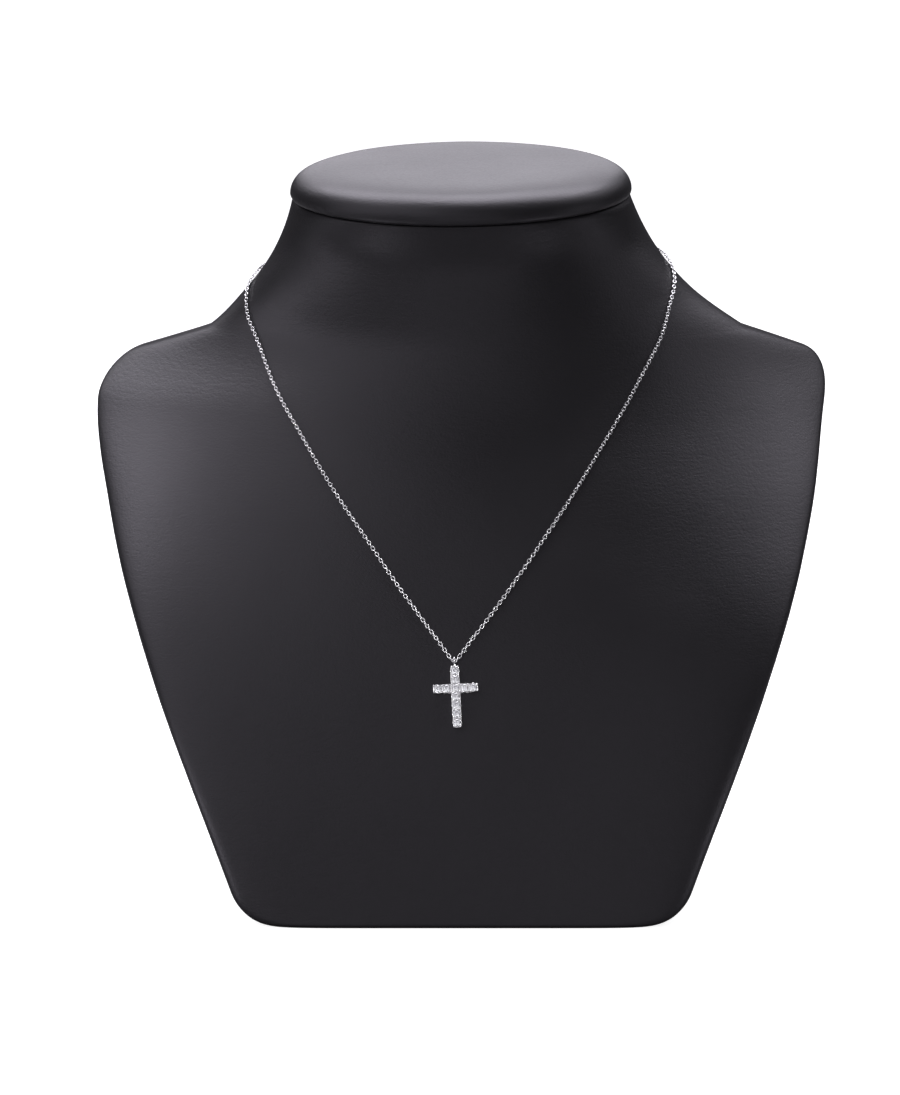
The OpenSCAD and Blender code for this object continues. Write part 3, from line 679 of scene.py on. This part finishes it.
for piece in (plate, drills):
    bpy.context.collection.objects.link(piece)
cut = plate.modifiers.new("holes", "BOOLEAN")
cut.operation = "DIFFERENCE"
cut.solver = "EXACT"
cut.object = drills
bpy.context.view_layer.update()
finished = plate.evaluated_get(bpy.context.evaluated_depsgraph_get())
drilled = bpy.data.meshes.new_from_object(finished)
bpy.data.objects.remove(plate)
bpy.data.objects.remove(drills)

shape = bmesh.new()
shape.from_mesh(drilled)
# Collets: a rounded rim, the cone of the seat, its step and the hole through the back
collet = [(COLLET_R, CROSS_BACK - 0.04), (COLLET_R, RIM + 0.06), (COLLET_R - 0.012, RIM + 0.02),
          (COLLET_R - 0.045, RIM), (SEAT_R + 0.035, RIM), (SEAT_R + 0.008, RIM + 0.015),
          (SEAT_R - 0.01, RIM + 0.05), (SEAT_HOLE_R + SEAT_STEP, RIM + SEAT_DEPTH),
          (SEAT_HOLE_R, RIM + SEAT_DEPTH + 0.02), (SEAT_HOLE_R, CROSS_BACK - 0.03),
          (SEAT_HOLE_R + 0.03, CROSS_BACK), (COLLET_R - 0.04, CROSS_BACK)]
for i, k in STONE_PLACES:
    turned_piece(shape, collet, i * PITCH, k * PITCH + MIDDLE, COLLET_AROUND)
# Prongs: round wires through the plate, ended in a bead over the stones' edges
head = GIRDLE - HEAD_OVER
neck = math.asin(PRONG_R / HEAD_R)
bead = [(HEAD_R * math.sin(a), head - HEAD_R * math.cos(a))
        for a in (i * (math.pi - neck) / BEAD_STEPS for i in range(BEAD_STEPS + 1))]
prong = [(max(r, TIP), y) for r, y in bead]
prong += [(PRONG_R, CROSS_BACK - PRONG_INSET), (TIP, CROSS_BACK - PRONG_INSET)]
corner = CORNER_SHARE * PITCH
places = [(side * PRONG_SIDE, k * PITCH)
          for k in (2.5, 1.5, -1.5, -2.5, -3.5, -4.5) for side in (-1, 1)]
places += [(k * PITCH, side * PRONG_SIDE) for k in (-2.5, -1.5, 1.5, 2.5) for side in (-1, 1)]
places += [(a * corner, b * corner) for a in (-1, 1) for b in (-1, 1)]
for x, z in places:
    turned_piece(shape, prong, x, z + MIDDLE, PRONG_AROUND)
# The bail ring, edge on to the front, and its foot
ring_r = (BAIL_D - BAIL_WIRE) / 2
grid = []
for i in range(BAIL_AROUND):
    a = math.tau * i / BAIL_AROUND
    ring = []
    for j in range(WIRE_AROUND):
        t = math.tau * j / WIRE_AROUND
        r = ring_r + BAIL_WIRE / 2 * math.cos(t)
        ring.append(shape.verts.new((BAIL_WIRE / 2 * math.sin(t), r * math.sin(a), r * math.cos(a))))
    grid.append(ring)
for i, ring in enumerate(grid):
    following = grid[(i + 1) % BAIL_AROUND]
    for j in range(WIRE_AROUND):
        k = (j + 1) % WIRE_AROUND
        shape.faces.new((ring[j], ring[k], following[k], following[j]))
foot_low = -BAIL_DROP + SEAT_R + FOOT_CLEAR
foot = [(-0.6 * FOOT_HALF, -ring_r), (0.6 * FOOT_HALF, -ring_r), (FOOT_HALF, foot_low),
        (-FOOT_HALF, foot_low)]
rounded_block(shape, foot, GIRDLE - 0.2, FOOT_BACK, 0.07)
shape.transform(HANG)
setting = bpy.data.objects.new("fine_cross_setting", shape_mesh(shape, "fine_cross_setting"))
bpy.context.collection.objects.link(setting)
setting.data.materials.append(white_gold("Setting gold", 0.12))
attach(setting, "cross")
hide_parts("cross_setting")


# Stones
# Eleven round brilliants, clear and colourless, with 57 flat facets each.  Each sits in the cone
# of its collet, and the beads of the prongs hold it down at the girdle.

def diamond():
    material = bpy.data.materials.new("Diamond")
    material.use_nodes = True
    surface = material.node_tree.nodes["Principled BSDF"]
    value_of(surface.inputs["Base Color"], (0.97, 0.98, 1.0, 1))
    value_of(surface.inputs["Roughness"], 0.0)
    value_of(surface.inputs["IOR"], 2.42)
    value_of(surface.inputs["Transmission Weight"], 1.0)
    return material


clear = diamond()
stones = [node for name, node in frame["nodes"].items() if name.startswith("stone_")]
for stone in stones:
    stone.data.materials.clear()
    stone.data.materials.append(clear)


# Studio
# A plain pale floor, a dim room with soft windows, lamps above, in front and at both sides, and
# the camera at the photo's angle.

scene = bpy.context.scene
scene.view_settings.view_transform = "Standard"
DAYLIGHT, ROOM = (0.975, 0.95, 1.03), 0.03
LOOK_AT, CAMERA_AWAY, CAMERA_DOWN, CAMERA_LENS = (-0.003, 0, 0.0885), 1.5, 10, 182
# the floor: half its width, its glow, its colour to the camera and to everything else
FLOOR_HALF, FLOOR_GLOW = 8, 0.9
FLOOR_PALE, FLOOR_BOUNCE = (0.8, 0.8, 0.8, 1), (0.25, 0.25, 0.25, 1)
# place in metres, size and glow of the small lamps for the jewellery
SPARKLE = [(-0.5, -0.9, 0.5, 0.5, 2.2), (0.5, -0.9, 0.6, 0.4, 1.8), (0, -0.9, 0.03, 0.3, 1.5),
           (-0.25, -0.8, 0.25, 0.05, 40), (0.3, -0.8, 0.3, 0.05, 40), (0.05, -0.7, 0.65, 0.06, 40),
           (-0.6, -0.4, 0.3, 0.06, 40), (0.6, -0.5, 0.2, 0.06, 30)]
# windows: turn to the right of the front, height, width in degrees, strength
PATCHES = [(-54, 38, 28, 0.9), (-90, 52, 12, 0.2), (-145, 38, 12, 1.8), (112, 43, 15, 0.9),
           (140, 38, 12, 0.8)]

floor_mesh = bpy.data.meshes.new("floor")
corners = [(x * FLOOR_HALF, y * FLOOR_HALF, 0) for x, y in ((-1, -1), (1, -1), (1, 1), (-1, 1))]
floor_mesh.from_pydata(corners, [], [(0, 1, 2, 3)])
floor = bpy.data.objects.new("floor", floor_mesh)
scene.collection.objects.link(floor)
pale = bpy.data.materials.new("Pale floor")
pale.use_nodes = True
nodes, link = pale.node_tree.nodes, pale.node_tree.links.new
surface = nodes["Principled BSDF"]
value_of(surface.inputs["Roughness"], 0.9)
value_of(surface.inputs["Specular IOR Level"], 0.0)
value_of(surface.inputs["Emission Color"], (1, 1, 1, 1))
path = nodes.new("ShaderNodeLightPath").outputs["Is Camera Ray"]
shade = nodes.new("ShaderNodeMix")
shade.data_type = "RGBA"
link(path, shade.inputs[0])
value_of(shade.inputs[6], FLOOR_BOUNCE)
value_of(shade.inputs[7], FLOOR_PALE)
link(shade.outputs[2], surface.inputs["Base Color"])
glow = nodes.new("ShaderNodeMath")
glow.operation = "MULTIPLY"
link(path, glow.inputs[0])
value_of(glow.inputs[1], FLOOR_GLOW)
link(glow.outputs[0], surface.inputs["Emission Strength"])
floor.data.materials.append(pale)

# The room: dim, with soft windows at the left and, less so, at the right; white to the camera
world = bpy.data.worlds.new("Studio")
scene.world = world
world.use_nodes = True
nodes, link = world.node_tree.nodes, world.node_tree.links.new
room = nodes["Background"]
place = nodes.new("ShaderNodeTexCoord").outputs["Generated"]


def glow_from(turn, height, wide, strength):
    """A soft patch of light round one direction: degrees to the right of the front, and up."""
    a, e = math.radians(turn), math.radians(height)
    facing = nodes.new("ShaderNodeVectorMath")
    facing.operation = "DOT_PRODUCT"
    link(place, facing.inputs[0])
    towards = (math.sin(a) * math.cos(e), -math.cos(a) * math.cos(e), math.sin(e))
    value_of(facing.inputs[1], towards)
    patch = nodes.new("ShaderNodeMapRange")
    patch.interpolation_type = "SMOOTHSTEP"
    link(facing.outputs["Value"], patch.inputs["Value"])
    value_of(patch.inputs["From Min"], math.cos(math.radians(1.5 * wide)))
    value_of(patch.inputs["From Max"], math.cos(math.radians(0.5 * wide)))
    value_of(patch.inputs["To Max"], strength)
    return patch.outputs["Result"]


# the room's own dim light comes from above and fades down to the floor
walls = glow_from(0, 90, 120, ROOM)
for patch in PATCHES:
    both = nodes.new("ShaderNodeMath")
    link(walls, both.inputs[0])
    link(glow_from(*patch), both.inputs[1])
    walls = both.outputs[0]
path = nodes.new("ShaderNodeLightPath")
seen = nodes.new("ShaderNodeMix")
link(path.outputs["Is Camera Ray"], seen.inputs["Factor"])
link(walls, seen.inputs["A"])
value_of(seen.inputs["B"], 1.0)
link(seen.outputs["Result"], room.inputs["Strength"])
hue = nodes.new("ShaderNodeMix")
hue.data_type = "RGBA"
link(path.outputs["Is Camera Ray"], hue.inputs[0])
value_of(hue.inputs[6], (*DAYLIGHT, 1))
value_of(hue.inputs[7], (1, 1, 1, 1))
link(hue.outputs[2], room.inputs["Color"])


def soft_light(name, place, target, size, size_y, glow, only=None, hue=DAYLIGHT):
    """A rectangular lamp that the camera doesn't see; glow is its brightness for each area."""
    light = bpy.data.lights.new(name, "AREA")
    light.shape = "RECTANGLE"
    light.size, light.size_y = size, size_y
    light.energy = glow * math.pi * size * size_y
    light.color = hue
    lamp = bpy.data.objects.new(name, light)
    lamp.location = place
    lamp.rotation_euler = (Vector(target) - Vector(place)).to_track_quat("-Z", "Y").to_euler()
    lamp.visible_camera = False
    lamp.light_linking.receiver_collection = only
    scene.collection.objects.link(lamp)


middle = (0, 0, 0.1)
soft_light("top light", (0, 0.4, 1.0), middle, 1.2, 0.6, 5.9)
soft_light("front light", (0, -1.2, 0.8), middle, 1.2, 0.5, 0.5)
soft_light("low front light", (0, -1.3, 0.15), middle, 1.2, 0.25, 1.0)
soft_light("left card", (-0.18, -0.05, 0.19), (-0.08, 0, 0.08), 0.08, 0.1, 0.5)
soft_light("right card", (0.19, -0.03, 0.18), (0.09, 0, 0.09), 0.08, 0.1, 0.5)
soft_light("low left card", (-0.2, -0.12, 0.03), (-0.08, 0, 0.08), 0.1, 0.05, 3.0)
soft_light("low right card", (0.2, -0.12, 0.03), (0.08, 0, 0.08), 0.1, 0.05, 1.9)
# Close to the shoulders' edges, which shine most
soft_light("left edge card", (-0.138, 0, 0.172), (-0.125, 0, 0.1), 0.07, 0.03, 2.6)
soft_light("right edge card", (0.138, 0, 0.172), (0.125, 0, 0.1), 0.07, 0.03, 0.8)
# The cap's top has a light of its own behind it
cap_alone = bpy.data.collections.new("cap alone")
cap_alone.objects.link(cap)
soft_light("cap light", (0, 1.2, 0.67), (0, 0.03, 0.19), 0.8, 0.6, 2.1, cap_alone)
# Small lamps for the jewellery alone, for its sparkle
jewellery = bpy.data.collections.new("jewellery")
for piece in [chain, clasp, setting] + stones:
    jewellery.objects.link(piece)
for i, (x, y, z, size, glow) in enumerate(SPARKLE):
    soft_light(f"sparkle {i + 1}", (x, y, z), (0, -0.05, 0.06), size, size, glow, jewellery,
               (1, 1, 1))

look_at = Vector(LOOK_AT)
camera = bpy.data.cameras.new("camera")
camera.lens = CAMERA_LENS
camera.sensor_width = 36
camera.clip_start = 0.05
eye = bpy.data.objects.new("camera", camera)
down = math.radians(CAMERA_DOWN)
eye.location = look_at + Vector((0, -math.cos(down), math.sin(down))) * CAMERA_AWAY
eye.rotation_euler = (look_at - eye.location).to_track_quat("-Z", "Y").to_euler()
scene.collection.objects.link(eye)
scene.camera = eye

bpy.context.view_layer.update()
